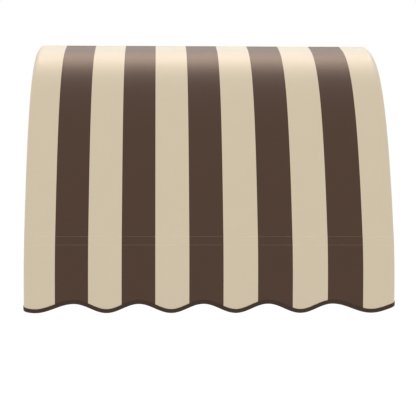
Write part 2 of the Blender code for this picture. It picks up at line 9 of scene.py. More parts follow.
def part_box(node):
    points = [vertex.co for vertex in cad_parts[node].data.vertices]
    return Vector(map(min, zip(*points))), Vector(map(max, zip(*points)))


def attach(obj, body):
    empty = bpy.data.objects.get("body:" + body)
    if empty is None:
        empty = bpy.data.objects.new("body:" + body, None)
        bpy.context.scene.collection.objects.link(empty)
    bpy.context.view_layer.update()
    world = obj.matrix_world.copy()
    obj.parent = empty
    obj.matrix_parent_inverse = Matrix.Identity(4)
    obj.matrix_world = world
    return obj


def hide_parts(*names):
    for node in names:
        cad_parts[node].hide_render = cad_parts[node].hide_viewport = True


# Rounded window awning: striped canvas over a tube frame, seen straight from the street.
# Lengths in metres, x to the right, y towards the wall, z up.

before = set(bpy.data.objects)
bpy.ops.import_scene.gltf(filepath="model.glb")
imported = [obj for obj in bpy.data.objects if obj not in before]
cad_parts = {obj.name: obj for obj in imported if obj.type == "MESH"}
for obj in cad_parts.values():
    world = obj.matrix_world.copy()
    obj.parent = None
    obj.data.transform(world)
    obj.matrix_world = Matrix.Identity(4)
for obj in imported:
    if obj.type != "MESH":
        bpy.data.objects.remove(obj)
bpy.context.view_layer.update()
xAxis = Vector((1, 0, 0))
yAxis = Vector((0, 1, 0))
zAxis = Vector((0, 0, 1))
sides = {"left": -1, "right": 1}


def middleOf(node):
    low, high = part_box(node)
    return (low + high) / 2


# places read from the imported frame
headAxis = middleOf("head_rail")
frontAxis = middleOf("front_bar")
sideX = middleOf("side_bow_right").x
footAxis = Vector((0, headAxis.y, frontAxis.z))
headAxis.x = frontAxis.x = 0

hood = {
    "tubeRadius": 0.0127,
    "tubeWall": 0.0016,
    "stub": 0.026,
    "spigot": 0.030,
    "ease": 0.004,
    "headSlope": math.radians(10),
    "frontRake": math.radians(21),
    "headPull": 0.60,
    "frontPull": 0.84,
    "clothRadius": 0.01366,  # tube axis to the middle of the cloth
    "cloth": 0.001,
    "wallGap": 0.002,
    "valanceLean": math.radians(15.5),
    "valanceDrop": 0.196,
    "leanLength": 0.1225,
    "leanSteps": 16,
    "sectionSteps": 80,
    "scallop": 0.1798,
    "cornerScallop": 0.2155,  # the wave that goes round each front corner is longer
    "scallopHeight": 0.0255,
    "scallopPeak": -0.0176,
}

headRun = Vector((0, -math.cos(hood["headSlope"]), -math.sin(hood["headSlope"])))
frontRun = Vector((0, math.sin(hood["frontRake"]), math.cos(hood["frontRake"])))


# small helpers for working as in the viewport

edges = {"bevelSegments": 2, "bevelAngle": 50, "clothAngle": 50, "tubeAngle": 40, "screwAngle": 35}


def deselectAll():
    bpy.ops.object.select_all(action="DESELECT")


def activate(*pieces):
    deselectAll()
    for piece in pieces:
        piece.select_set(True)
    bpy.context.view_layer.objects.active = pieces[0]


def applyPlace(piece):
    activate(piece)
    bpy.ops.object.transform_apply(location=True, rotation=True, scale=True)


def applyModifiers(piece):
    activate(piece)
    for modifier in list(piece.modifiers):
        bpy.ops.object.modifier_apply(modifier=modifier.name)


def addBevel(piece, width):
    bevel = piece.modifiers.new("softEdges", "BEVEL")
    bevel.width = width
    bevel.segments = edges["bevelSegments"]
    bevel.limit_method = "ANGLE"
    bevel.angle_limit = math.radians(edges["bevelAngle"])


def pointOutwards(piece):
    activate(piece)
    bpy.ops.object.mode_set(mode="EDIT")
    bpy.ops.mesh.select_all(action="SELECT")
    bpy.ops.mesh.normals_make_consistent(inside=False)
    bpy.ops.object.mode_set(mode="OBJECT")


def smoothByAngle(piece, degrees):
    activate(piece)
    bpy.ops.object.shade_smooth_by_angle(angle=math.radians(degrees))


def paint(piece, *materials):
    piece.data.materials.clear()
    for material in materials:
        piece.data.materials.append(material)


def standFor(piece, node):
    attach(piece, "root")
    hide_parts(node)


def joinPieces(name, pieces):
    activate(*pieces)
    bpy.ops.object.join()
    joined = bpy.context.active_object
    joined.name = joined.data.name = name
    return joined


def pieceName(node):
    first, *others = node.split("_")
    return first + "".join(word.capitalize() for word in others)


def evenly(start, end, count):
    return [start + (end - start) * i / count for i in range(count + 1)]


def lengthsAlong(points):
    lengths = [0.0]
    for a, b in zip(points, points[1:]):
        lengths.append(lengths[-1] + (b - a).length)
    return lengths


def meshPiece(name, points, faces, uvs):
    mesh = bpy.data.meshes.new(name)
    mesh.from_pydata([tuple(p) for p in points], [], faces)
    layer = mesh.uv_layers.new(name="flatCloth")
    for loop in mesh.loops:
        layer.data[loop.index].uv = uvs[loop.vertex_index]
    piece = bpy.data.objects.new(name, mesh)
    bpy.context.scene.collection.objects.link(piece)
    return piece


# the hood's section: a line from the wall over the bow and down the valance

def bowAxis(steps):
    straight = hood["stub"] + hood["spigot"] + hood["ease"]
    start = headAxis + straight * headRun
    end = frontAxis + straight * frontRun
    across = end - start
    turn = headRun.cross(frontRun).x
    headReach = across.cross(frontRun).x / turn
    frontReach = across.cross(headRun).x / turn
    headHandle = start + hood["headPull"] * headReach * headRun
    frontHandle = end + hood["frontPull"] * frontReach * frontRun
    return list(interpolate_bezier(start, headHandle, frontHandle, end, steps + 1))


def sectionAxis():
    wall = Vector((0, -hood["wallGap"], headAxis.z))
    slope = math.tan(hood["valanceLean"])
    length = hood["leanLength"]
    lean = []
    for down in evenly(0, length, hood["leanSteps"])[1:]:
        out = slope * (down - down * down / (2 * length))
        lean.append(frontAxis - Vector((0, out, down)))
    foot = Vector((0, lean[-1].y, frontAxis.z - hood["valanceDrop"]))
    return [wall, headAxis, *bowAxis(hood["sectionSteps"]), frontAxis, *lean, foot]


def outwardNormals(line):
    runs = [(b - a).normalized() for a, b in zip(line, line[1:])]
    halves = [(a + b).normalized() for a, b in zip(runs, runs[1:])]
    return [-xAxis.cross(run).normalized() for run in (runs[0], *halves, runs[-1])]


seamSpread = 0.012  # the two rows of a pocket lie this far to either side of its tube
seamSag = 0.0015  # and the front ones hang this much lower

section = sectionAxis()
sectionNormals = outwardNormals(section)
clothLine = [place + hood["clothRadius"] * normal for place, normal in zip(section, sectionNormals)]
sectionLengths = lengthsAlong(clothLine)
frontIndex = section.index(frontAxis)
barLength = sectionLengths[frontIndex]  # cloth from the wall to the front bar
headLength = sectionLengths[1]
seamRows = [barLength + seamSag - seamSpread, barLength + seamSag + seamSpread, headLength + seamSpread]
plumbLength = sectionLengths[-2]  # cloth from the wall to where the valance hangs plumb
plumbZ = section[-2].z
frontY = section[-1].y
roundLength = hood["clothRadius"] * math.pi / 2  # cloth round a side bow


def sectionAt(v):
    if v >= plumbLength:
        return Vector((0, frontY, plumbZ - (v - plumbLength))), -yAxis
    i = max(bisect.bisect_right(sectionLengths, v) - 1, 0)
    t = (v - sectionLengths[i]) / (sectionLengths[i + 1] - sectionLengths[i])
    place = section[i].lerp(section[i + 1], t)
    return place, sectionNormals[i].lerp(sectionNormals[i + 1], t).normalized()


def scallopZ(u):
    run = u - hood["scallopPeak"]
    sign = 1 if run > 0 else -1
    onFront = math.floor((sideX - sign * hood["scallopPeak"]) / hood["scallop"])
    past = abs(run) - onFront * hood["scallop"]
    waves = abs(run) / hood["scallop"]
    if past > 0:
        roundCorner = min(past, hood["cornerScallop"])
        waves = onFront + roundCorner / hood["cornerScallop"] + (past - roundCorner) / hood["scallop"]
    lowest = frontAxis.z - hood["valanceDrop"]
    return lowest + hood["scallopHeight"] * (1 + math.cos(2 * math.pi * waves)) / 2


def footLength(u):
    return plumbLength + plumbZ - scallopZ(u)


relief = {
    "bowPull": 0.0007,  # the cloth lies this much flatter between the bows
    "edgeFade": 6,  # and all its relief dies away towards the side bows by this power
    "hemRipple": 0.0010,  # the free valance waves by this much at its foot
    "mostHang": 1.3,
    "rippleLength": 0.205,
    "ripplePhase": 0.9,
    "wingRipples": 2.6,
    "wingReach": 1.02,
    "slackNoise": 0.0004,
    "coverSlack": (7, 5, 0.3),  # swells to a metre across and down, and a seed
    "wingSlack": (5, 5, 4.1),
    "seamPinch": 0.0002,  # a row of stitching draws the cloth in by this much
    "seamWidth": 0.0022,
}


def seamPinch(distance):
    return -relief["seamPinch"] * math.exp(-(distance / relief["seamWidth"]) ** 2)


def coverRelief(u, v):
    flat = min(abs(u) / sideX, 1)
    over = max(0.0, min(v / barLength, 1))
    pull = -relief["bowPull"] * math.sin(math.pi * flat) ** 2 * math.sin(math.pi * over) ** 0.5
    hang = max(0.0, (v - barLength) / (plumbLength - barLength))
    edge = 1 - flat ** relief["edgeFade"]
    ripple = relief["hemRipple"] * min(hang, relief["mostHang"]) * edge
    ripple *= math.sin(2 * math.pi * u / relief["rippleLength"] + relief["ripplePhase"])
    across, down, seed = relief["coverSlack"]
    slack = relief["slackNoise"] * noise.noise(Vector((u * across, v * down, seed))) * edge
    seams = sum(seamPinch(v - row) for row in seamRows)
    return pull + ripple + slack * math.sin(math.pi * over) ** 0.5 + seams * edge


wingLap = {"width": 0.011, "lift": 0.0012}  # the cover's edge, sewn down on the wing


def lapRise(u):
    past = min(max(abs(u) - sideX, 0), roundLength)
    return wingLap["lift"] * math.sin(past / hood["clothRadius"]) ** 2


def coverPoint(u, v, lift=0.0):
    place, normal = sectionAt(v)
    sign = 1 if u >= 0 else -1
    past = max(abs(u) - sideX, 0)
    angle = min(past, roundLength) / hood["clothRadius"]
    lap = max(past - roundLength, 0)
    out = math.cos(angle) * normal + math.sin(angle) * sign * xAxis
    spot = place + (hood["clothRadius"] + coverRelief(u, v) + lapRise(u) + lift) * out
    spot.x += sign * min(abs(u), sideX)
    return spot - lap * normal, out


def wingRelief(u, y, z):
    hang = max(0.0, (frontAxis.z - z) / hood["valanceDrop"])
    along = (y - frontY) / -frontY
    ripple = relief["hemRipple"] * hang * math.sin(math.pi * min(along * relief["wingReach"], 1))
    ripple *= math.sin(2 * math.pi * along * relief["wingRipples"])
    across, down, seed = relief["wingSlack"]
    slack = relief["slackNoise"] * noise.noise(Vector((u * across, z * down, seed)))
    return ripple + slack * math.sin(math.pi * min(along, 1))


def wingU(y):
    return sideX + roundLength + (y - frontY)


def wingPoint(sign, y, z, lift=0.0):
    u = wingU(y)
    x = sideX + hood["clothRadius"] + wingRelief(sign * u, y, z) + lift
    return Vector((sign * x, y, z))


# colours and finishes

cloths = {
    "stripe": 0.09525,
    "sand": (0.640, 0.545, 0.396, 1),
    "brown": (0.0710, 0.0370, 0.0220, 1),
    # pale colour of the stitches: partly the thread's own colour, partly a painted highlight on the clear
    # thread
    "thread": (0.98, 0.86, 0.68, 1),
    "stripeSpread": 0.00043,  # an edge lies further right by this, times its count from the middle squared
    "spreadLimit": 29.0,  # the squared count goes no higher
    "stripeShift": -0.01004,
    "coverReach": 0.5,  # the last stripe goes on past this distance from the middle
    "wingReach": 10.0,
    "yarn": 0.00042,
}


def setSocket(node, name, value):
    node.inputs[name].default_value = value


def newGroup(name, inputs, outputs):
    group = bpy.data.node_groups.new(name, "ShaderNodeTree")
    for label, kind, value in inputs:
        socket = group.interface.new_socket(name=label, in_out="INPUT", socket_type=kind)
        if value is not None:
            socket.default_value = value
    for label, kind in outputs:
        group.interface.new_socket(name=label, in_out="OUTPUT", socket_type=kind)
    return group, group.nodes.new("NodeGroupInput"), group.nodes.new("NodeGroupOutput")


def mathNode(tree, operation, first, second=None, third=None):
    node = tree.nodes.new("ShaderNodeMath")
    node.operation = operation
    for i, value in enumerate((first, second, third)):
        if value is None:
            continue
        if isinstance(value, (int, float)):
            node.inputs[i].default_value = value
        else:
            tree.links.new(value, node.inputs[i])
    return node.outputs[0]


def noiseNode(tree, vector, scale, detail):
    node = tree.nodes.new("ShaderNodeTexNoise")
    setSocket(node, "Scale", scale)
    setSocket(node, "Detail", detail)
    tree.links.new(vector, node.inputs["Vector"])
    return node.outputs["Fac"]


def makeStripeGroup():
    inputs = [
        ("Vector", "NodeSocketVector", None),
        ("Stripe", "NodeSocketFloat", cloths["stripe"]),
        ("Reach", "NodeSocketFloat", cloths["wingReach"]),
    ]
    group, enter, leave = newGroup("awningStripes", inputs, [("Dark", "NodeSocketFloat")])
    split = group.nodes.new("ShaderNodeSeparateXYZ")
    group.links.new(enter.outputs["Vector"], split.inputs[0])
    back = mathNode(group, "MULTIPLY", enter.outputs["Reach"], -1.0)
    across = mathNode(group, "MINIMUM", split.outputs["X"], enter.outputs["Reach"])
    across = mathNode(group, "MAXIMUM", across, back)
    turns = mathNode(group, "DIVIDE", across, enter.outputs["Stripe"])
    square = mathNode(group, "MULTIPLY", turns, turns)
    square = mathNode(group, "MINIMUM", square, cloths["spreadLimit"])
    shift = mathNode(group, "MULTIPLY_ADD", square, cloths["stripeSpread"], cloths["stripeShift"])
    moved = mathNode(group, "SUBTRACT", across, shift)
    index = mathNode(group, "DIVIDE", moved, enter.outputs["Stripe"])
    even = mathNode(group, "PINGPONG", index, 1.0)
    group.links.new(mathNode(group, "LESS_THAN", even, 0.5), leave.inputs["Dark"])
    return group


weaveLook = {
    "yarnShare": 0.7,  # what the crossing yarns give to the height
    "slubShare": 0.15,  # and each of the two fine kinds of thick and thin places
    "slubDetail": 1,
    # stretch and scale of each kind, the coarse one last
    "slubs": (((1.0, 0.06, 1.0), 1100), ((0.06, 1.0, 1.0), 1100), ((0.05, 1.0, 1.0), 380)),
}


def yarnWave(group, along, yarn):
    turns = mathNode(group, "DIVIDE", along, yarn)
    return mathNode(group, "SINE", mathNode(group, "MULTIPLY", turns, math.pi))


def makeWeaveGroup():
    inputs = [("Vector", "NodeSocketVector", None), ("Yarn", "NodeSocketFloat", cloths["yarn"])]
    outputs = [("Height", "NodeSocketFloat"), ("Fleck", "NodeSocketFloat")]
    group, enter, leave = newGroup("canvasWeave", inputs, outputs)
    split = group.nodes.new("ShaderNodeSeparateXYZ")
    group.links.new(enter.outputs["Vector"], split.inputs[0])
    warp = yarnWave(group, split.outputs["X"], enter.outputs["Yarn"])
    weft = yarnWave(group, split.outputs["Y"], enter.outputs["Yarn"])
    over = mathNode(group, "GREATER_THAN", mathNode(group, "MULTIPLY", warp, weft), 0.0)
    mix = group.nodes.new("ShaderNodeMix")
    group.links.new(over, mix.inputs["Factor"])
    group.links.new(mathNode(group, "ABSOLUTE", warp), mix.inputs["A"])
    group.links.new(mathNode(group, "ABSOLUTE", weft), mix.inputs["B"])
    slubs = []
    for stretch, scale in weaveLook["slubs"]:
        mapping = group.nodes.new("ShaderNodeMapping")
        setSocket(mapping, "Scale", stretch)
        group.links.new(enter.outputs["Vector"], mapping.inputs["Vector"])
        slubs.append(noiseNode(group, mapping.outputs[0], scale, weaveLook["slubDetail"]))
    yarns = mathNode(group, "ADD", slubs[0], slubs[1])
    crossing = mathNode(group, "MULTIPLY", mix.outputs["Result"], weaveLook["yarnShare"])
    height = mathNode(group, "MULTIPLY_ADD", yarns, weaveLook["slubShare"], crossing)
    group.links.new(height, leave.inputs["Height"])
    fleck = mathNode(group, "DIVIDE", mathNode(group, "ADD", yarns, slubs[2]), float(len(slubs)))
    group.links.new(fleck, leave.inputs["Fleck"])
    return group


stripeGroup = makeStripeGroup()
weaveGroup = makeWeaveGroup()


def newMaterial(name, roughness, metallic=0.0):
    material = bpy.data.materials.new(name)
    material.use_nodes = True
    shader = material.node_tree.nodes["Principled BSDF"]
    setSocket(shader, "Roughness", roughness)
    setSocket(shader, "Metallic", metallic)
    return material, material.node_tree, shader


def groupNode(tree, group):
    node = tree.nodes.new("ShaderNodeGroup")
    node.node_tree = group
    return node


def clothVector(tree):
    node = tree.nodes.new("ShaderNodeUVMap")
    node.uv_map = "flatCloth"
    return node.outputs["UV"]


def mixColour(tree, factor, first, second, blend="MIX"):
    node = tree.nodes.new("ShaderNodeMix")
    node.data_type = "RGBA"
    node.blend_type = blend
    # a colour mix has its factor in socket 0, its colours in 6 and 7 and its result in 2
    for value, socket in ((factor, node.inputs[0]), (first, node.inputs[6]), (second, node.inputs[7])):
        if hasattr(value, "links"):
            tree.links.new(value, socket)
        else:
            socket.default_value = value
    return node.outputs[2]


def bumpFrom(tree, shader, height, distance, strength=1.0):
    bump = tree.nodes.new("ShaderNodeBump")
    setSocket(bump, "Distance", distance)
    setSocket(bump, "Strength", strength)
    tree.links.new(height, bump.inputs["Height"])
    tree.links.new(bump.outputs["Normal"], shader.inputs["Normal"])


canvasLook = {
    "roughness": 0.38,
    "specular": 0.2,
    "weaveDepth": 0.00007,
    "fleck": 0.10,
    "darkFleck": 0.40,  # the brown yarn is less even than the sand one
    "mottle": 0.035,
    "mottleScale": 14,
    "mottleDetail": 4,
}
threadAndHighlightShare = {"sand": 0.70, "brown": 0.22}  # how much of the pale colour shows on each cloth: partly the thread's own colour, partly a painted highlight on the clear thread


def blendOf(first, second, share):
    return tuple(a + (b - a) * share for a, b in zip(first, second))


def makeCanvas(name, striped, reach=cloths["wingReach"], threadAndHighlightOnSand=0.0, threadAndHighlightOnBrown=0.0):
    material, tree, shader = newMaterial(name, canvasLook["roughness"])
    setSocket(shader, "Specular IOR Level", canvasLook["specular"])
    vector = clothVector(tree)
    weave = groupNode(tree, weaveGroup)
    tree.links.new(vector, weave.inputs["Vector"])
    # for stitches the cloth's colours are blended towards that pale colour, which is partly pale thread and
    # partly a painted highlight
    sand = blendOf(cloths["sand"], cloths["thread"], threadAndHighlightOnSand)
    brown = blendOf(cloths["brown"], cloths["thread"], threadAndHighlightOnBrown)
    colour = sand
    amount = canvasLook["fleck"]
    if striped:
        stripes = groupNode(tree, stripeGroup)
        tree.links.new(vector, stripes.inputs["Vector"])
        setSocket(stripes, "Reach", reach)
        colour = mixColour(tree, stripes.outputs["Dark"], sand, brown)
        extra = canvasLook["darkFleck"] - canvasLook["fleck"]
        amount = mathNode(tree, "MULTIPLY_ADD", stripes.outputs["Dark"], extra, canvasLook["fleck"])
    uneven = mathNode(tree, "SUBTRACT", weave.outputs["Fleck"], 0.5)
    fleck = mathNode(tree, "MULTIPLY_ADD", uneven, amount, 1.0)
    mottle = noiseNode(tree, vector, canvasLook["mottleScale"], canvasLook["mottleDetail"])
    cloud = mathNode(tree, "MULTIPLY_ADD", mottle, canvasLook["mottle"], 1 - canvasLook["mottle"] / 2)
    shade = mathNode(tree, "MULTIPLY", fleck, cloud)
    grey = tree.nodes.new("ShaderNodeCombineColor")
    for i in range(3):
        tree.links.new(shade, grey.inputs[i])
    tree.links.new(mixColour(tree, 1.0, colour, grey.outputs[0], "MULTIPLY"), shader.inputs["Base Color"])
    bumpFrom(tree, shader, weave.outputs["Height"], canvasLook["weaveDepth"])
    return material


coverCanvas = makeCanvas("coverCanvas", True, cloths["coverReach"])
wingCanvas = makeCanvas("wingCanvas", True)
sandCanvas = makeCanvas("sandCanvas", False)
# the stitches' material is lighter than the cloth: partly pale thread, partly a painted highlight
clearThread = makeCanvas(
    "clearThread", True, cloths["coverReach"], threadAndHighlightShare["sand"], threadAndHighlightShare["brown"])
print("canvas materials ready")

braidLook = {
    "colour": (0.064, 0.037, 0.025, 1),
    "groove": 0.75,  # painted shade: the colour darkens to this share between the ribs
    "rib": 0.0011,
    "ribDepth": 0.00018,
    "roughness": 0.85,
    "specular": 0.15,
    "sheen": 0.15,
}


def makeBraidMaterial():
    material, tree, shader = newMaterial("ribbedBraid", braidLook["roughness"])
    setSocket(shader, "Specular IOR Level", braidLook["specular"])
    setSocket(shader, "Sheen Weight", braidLook["sheen"])
    split = tree.nodes.new("ShaderNodeSeparateXYZ")
    tree.links.new(clothVector(tree), split.inputs[0])
    turn = mathNode(tree, "MULTIPLY", split.outputs["X"], 2 * math.pi / braidLook["rib"])
    rib = mathNode(tree, "MULTIPLY_ADD", mathNode(tree, "SINE", turn), 0.5, 0.5)
    # painted shade: the grooves between the ribs are coloured darker, following the rib height
    dark = tuple(c * braidLook["groove"] for c in braidLook["colour"][:3]) + (1,)
    tree.links.new(mixColour(tree, rib, dark, braidLook["colour"]), shader.inputs["Base Color"])
    bumpFrom(tree, shader, rib, braidLook["ribDepth"])
    return material


ribbedBraid = makeBraidMaterial()

# metal finishes read object coordinates

metalGrain = {"detail": 5, "cellShare": 0.6, "grainShare": 0.4, "bump": 0.6}


def objectVector(tree):
    return tree.nodes.new("ShaderNodeTexCoord").outputs["Object"]


def makeMetal(name, look):
    material, tree, shader = newMaterial(name, look["roughness"], look["metallic"])
    vector = objectVector(tree)
    cells = tree.nodes.new("ShaderNodeTexVoronoi")
    setSocket(cells, "Scale", look["cellScale"])
    tree.links.new(vector, cells.inputs["Vector"])
    grain = noiseNode(tree, vector, look["grainScale"], metalGrain["detail"])
    tone = tree.nodes.new("ShaderNodeSeparateColor")
    tree.links.new(cells.outputs["Color"], tone.inputs[0])
    fine = mathNode(tree, "MULTIPLY", grain, metalGrain["grainShare"])
    blend = mathNode(tree, "MULTIPLY_ADD", tone.outputs[0], metalGrain["cellShare"], fine)
    tree.links.new(mixColour(tree, blend, look["dark"], look["light"]), shader.inputs["Base Color"])
    lowest = look["roughness"] - look["roughSpread"] / 2
    rough = mathNode(tree, "MULTIPLY_ADD", blend, look["roughSpread"], lowest)
    tree.links.new(rough, shader.inputs["Roughness"])
    bumpFrom(tree, shader, grain, look["grainDepth"], metalGrain["bump"])
    return material


galvanised = makeMetal("galvanisedTube", {
    "roughness": 0.50, "metallic": 1.0, "cellScale": 95, "grainScale": 420, "roughSpread": 0.16,
    "dark": (0.46, 0.475, 0.49, 1), "light": (0.62, 0.63, 0.64, 1), "grainDepth": 0.00003,
})
castAluminium = makeMetal("castAluminium", {
    "roughness": 0.52, "metallic": 1.0, "cellScale": 300, "grainScale": 900, "roughSpread": 0.12,
    "dark": (0.52, 0.52, 0.52, 1), "light": (0.66, 0.66, 0.65, 1), "grainDepth": 0.00012,
})
zincPlate = makeMetal("zincPlate", {
    "roughness": 0.30, "metallic": 1.0, "cellScale": 500, "grainScale": 1500, "roughSpread": 0.10,
    "dark": (0.60, 0.60, 0.58, 1), "light": (0.74, 0.74, 0.71, 1), "grainDepth": 0.00001,
})
print("metal materials ready")


# cover: one sheet from the wall over the bows to the scallops

coverCloth = {
    "cell": 0.0068,
    "roundColumns": 5,
    "lapColumns": 4,
    "plumbRows": 9,
    "seamReach": 2.5,  # finer rows lie this many seam widths to either side of a seam
    "seamCells": 6,
}


def giveThickness(piece, thickness):
    solid = piece.modifiers.new("thickness", "SOLIDIFY")
    solid.thickness = thickness
    solid.offset = 0
    solid.use_even_offset = True
    applyModifiers(piece)


def gridFaces(columns, rows):
    faces = []
    for c in range(columns - 1):
        for r in range(rows - 1):
            a = c * rows + r
            faces.append((a, a + 1, a + rows + 1, a + rows))
    return faces


def flatArea(piece):
    return sum(polygon.area for polygon in piece.data.polygons)


def makeCover():
    roundEnd = sideX + roundLength
    outer = evenly(sideX, roundEnd, coverCloth["roundColumns"])[1:]
    outer += evenly(roundEnd, roundEnd + wingLap["width"], coverCloth["lapColumns"])[1:]
    flat = evenly(-sideX, sideX, round(2 * sideX / coverCloth["cell"]))
    us = [-u for u in reversed(outer)] + flat + outer
    near = coverCloth["seamReach"] * relief["seamWidth"]
    upper = evenly(0, plumbLength, round(plumbLength / coverCloth["cell"]))
    upper = [v for v in upper if all(abs(v - row) > near for row in seamRows)]
    for row in seamRows:
        upper += evenly(row - near, row + near, coverCloth["seamCells"])
    upper.sort()
    points, uvs = [], []
    for u in us:
        lower = evenly(plumbLength, footLength(u), coverCloth["plumbRows"])[1:]
        for v in upper + lower:
            points.append(coverPoint(u, v)[0])
            uvs.append((u, v))
    faces = gridFaces(len(us), len(upper) + coverCloth["plumbRows"])
    piece = meshPiece("awningCover", points, faces, uvs)
    area = flatArea(piece)
    giveThickness(piece, hood["cloth"])
    smoothByAngle(piece, edges["clothAngle"])
    paint(piece, coverCanvas)
    standFor(piece, "cover")
    longest = footLength(hood["scallopPeak"] + hood["scallop"] / 2)
    return piece, (2 * (roundEnd + wingLap["width"]), longest), area


# wings: flat panels sewn to the cover along the side bows

wingCloth = {
    "cell": 0.0075,
    "rows": 70,
    "inset": 0.35,  # its edge stays this share of the cloth inside the cover
    "rimEnd": 0.99999,  # and ends just short of where the valance turns plumb
}


def makeWing(side):
    sign = sides[side]
    rim = []
    count = round(plumbLength / wingCloth["cell"])
    for v in evenly(0, plumbLength * wingCloth["rimEnd"], count):
        place, normal = sectionAt(v)
        rim.append(place - hood["cloth"] * wingCloth["inset"] * normal)
    points, uvs = [], []
    for place in rim:
        u = sign * wingU(place.y)
        for z in evenly(scallopZ(u), place.z, wingCloth["rows"]):
            points.append(wingPoint(sign, place.y, z))
            uvs.append((u, z))
    faces = gridFaces(len(rim), wingCloth["rows"] + 1)
    piece = meshPiece("awningWing" + side.capitalize(), points, faces, uvs)
    if sign > 0:
        piece.data.flip_normals()
    area = flatArea(piece)
    giveThickness(piece, hood["cloth"])
    smoothByAngle(piece, edges["clothAngle"])
    paint(piece, wingCanvas)
    standFor(piece, "wing_" + side)
    size = (-frontY - hood["wallGap"], headAxis.z - (frontAxis.z - hood["valanceDrop"]))
    return piece, size, area


cover, coverSize, coverArea = makeCover()
wings = {side: makeWing(side) for side in sides}
print("cover and wings ready", [round(x, 4) for x in (*coverSize, coverArea)])


# braid folded over the scalloped edge, round three sides

braid = {
    "height": 0.010,
    "thickness": 0.0008,
    "step": 0.004,
    "gap": 0.00025,
    "softEdge": 0.45,  # share of its thickness that its upper edges are rounded by
    "innerRow": 0.5,  # rows of its section, as shares of its height
    "outerRows": (0.66, 0.33),
    "foldDepth": 1.2,  # the fold hangs this many thicknesses below the cloth's edge
    "foldTurn": (0, 30, 60, 90),
}


def edgeStations():
    end = wingU(-hood["wallGap"])
    return evenly(-end, end, round(2 * end / braid["step"]))


def layerUnderBraid(u):
    past = abs(u) - sideX - roundLength - wingLap["width"]
    return lapRise(u) * max(0.0, min(1.0, 1 - past / braid["step"]))


def edgePoint(u, up, across):
    z = scallopZ(u) + up
    if across > 0:
        across += layerUnderBraid(u) * min(across / hood["cloth"], 1)
    if abs(u) <= sideX + roundLength:
        spot, out = coverPoint(u, plumbLength + plumbZ - z, -lapRise(u))
    else:
        sign = 1 if u > 0 else -1
        y = frontY + abs(u) - sideX - roundLength
        spot, out = wingPoint(sign, y, z), sign * xAxis
    return spot + across * out


def braidSection():
    inner = hood["cloth"] / 2 + braid["gap"]
    outer = inner + braid["thickness"]
    top = braid["height"]
    soft = braid["thickness"] * braid["softEdge"]
    half = [(inner, -braid["gap"]), (inner, top * braid["innerRow"]), (inner, top - soft)]
    half += [(inner + soft, top), (outer - soft, top), (outer, top - soft)]
    half += [(outer, top * share) for share in braid["outerRows"]]
    for degrees in braid["foldTurn"]:
        turn = math.radians(degrees)
        drop = braid["thickness"] * math.sin(turn) * braid["foldDepth"]
        half.append((outer * math.cos(turn), -braid["gap"] - drop))
    return half + [(-across, up) for across, up in reversed(half[:-1])]


def makeBraid():
    loop = braidSection()
    stations = edgeStations()
    lengths = lengthsAlong([edgePoint(u, 0, 0) for u in stations])
    points, uvs, faces = [], [], []
    for i, u in enumerate(stations):
        a, b = stations[max(i - 1, 0)], stations[min(i + 1, len(stations) - 1)]
        stretch = math.hypot(1, (scallopZ(b) - scallopZ(a)) / (b - a))
        for across, up in loop:
            points.append(edgePoint(u, up * stretch, across))
            uvs.append((lengths[i], up + across))
    n = len(loop)
    for i in range(len(stations) - 1):
        for k in range(n):
            a, b = i * n + k, i * n + (k + 1) % n
            faces.append((a, b, b + n, a + n))
    faces.append(tuple(range(n)))
    faces.append(tuple(reversed(range(len(points) - n, len(points)))))
    piece = meshPiece("scallopBraid", points, faces, uvs)
    pointOutwards(piece)
    smoothByAngle(piece, edges["clothAngle"])
    paint(piece, ribbedBraid)
    standFor(piece, "valance_binding")
    return piece


scallopBraid = makeBraid()
print("braid ready")


# rows of machine stitching, each stitch a small bead of thread

stitching = {
    "pitch": 0.0044,
    "length": 0.0034,
    "radius": 0.00042,
    "proud": 0.00015,
    "lapRows": (0.25, 0.8),  # shares of the lap's width
    "lapEnds": (0.006, 0.012),  # how far they stay off the wall and off the foot
    "barEnds": (0.016, 0.004),  # off the front bar's axis and off the wall
    "postEnds": (0.020, 0.014),  # below the head rail's axis and above the wing's foot
    "braidRow": 0.8,  # share of the braid's height
    "braidEnd": 0.002,
    "beadSegments": 6,
    "beadRings": 4,
}


def stitchShape():
    deselectAll()
    bpy.ops.mesh.primitive_uv_sphere_add(
        segments=stitching["beadSegments"], ring_count=stitching["beadRings"], radius=1)
    bead = bpy.context.active_object
    bead.scale = (stitching["radius"], stitching["radius"], stitching["length"] / 2)
    applyPlace(bead)
    points = [v.co.copy() for v in bead.data.vertices]
    faces = [tuple(p.vertices) for p in bead.data.polygons]
    bpy.data.objects.remove(bead)
    return points, faces


beadPoints, beadFaces = stitchShape()


def makeStitches(name, rows, material=clearThread):
    # rows: lists of (place, outward, flat coordinate) along each seam
    points, faces, uvs = [], [], []
    for row in rows:
        for a, b in zip(row, row[1:]):
            place = (a[0] + b[0]) / 2
            run = (b[0] - a[0]).normalized()
            out = (a[1] + b[1]).normalized()
            side = run.cross(out).normalized()
            flat = ((a[2][0] + b[2][0]) / 2, (a[2][1] + b[2][1]) / 2)
            start = len(points)
            for p in beadPoints:
                points.append(place + side * p.x + out * p.y + run * p.z)
                uvs.append(flat)
            faces += [tuple(start + k for k in face) for face in beadFaces]
    piece = meshPiece(name, points, faces, uvs)
    activate(piece)
    bpy.ops.object.shade_smooth()
    paint(piece, material)
    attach(piece, "root")
    return piece


def pitchSteps(start, end):
    return evenly(start, end, max(round(abs(end - start) / stitching["pitch"]), 1))


faceLift = hood["cloth"] / 2 + stitching["proud"]


def coverSeam(uStart, uEnd, v):
    row = []
    for u in pitchSteps(uStart, uEnd):
        spot, out = coverPoint(u, v, faceLift)
        row.append((spot, out, (u, v)))
    return row


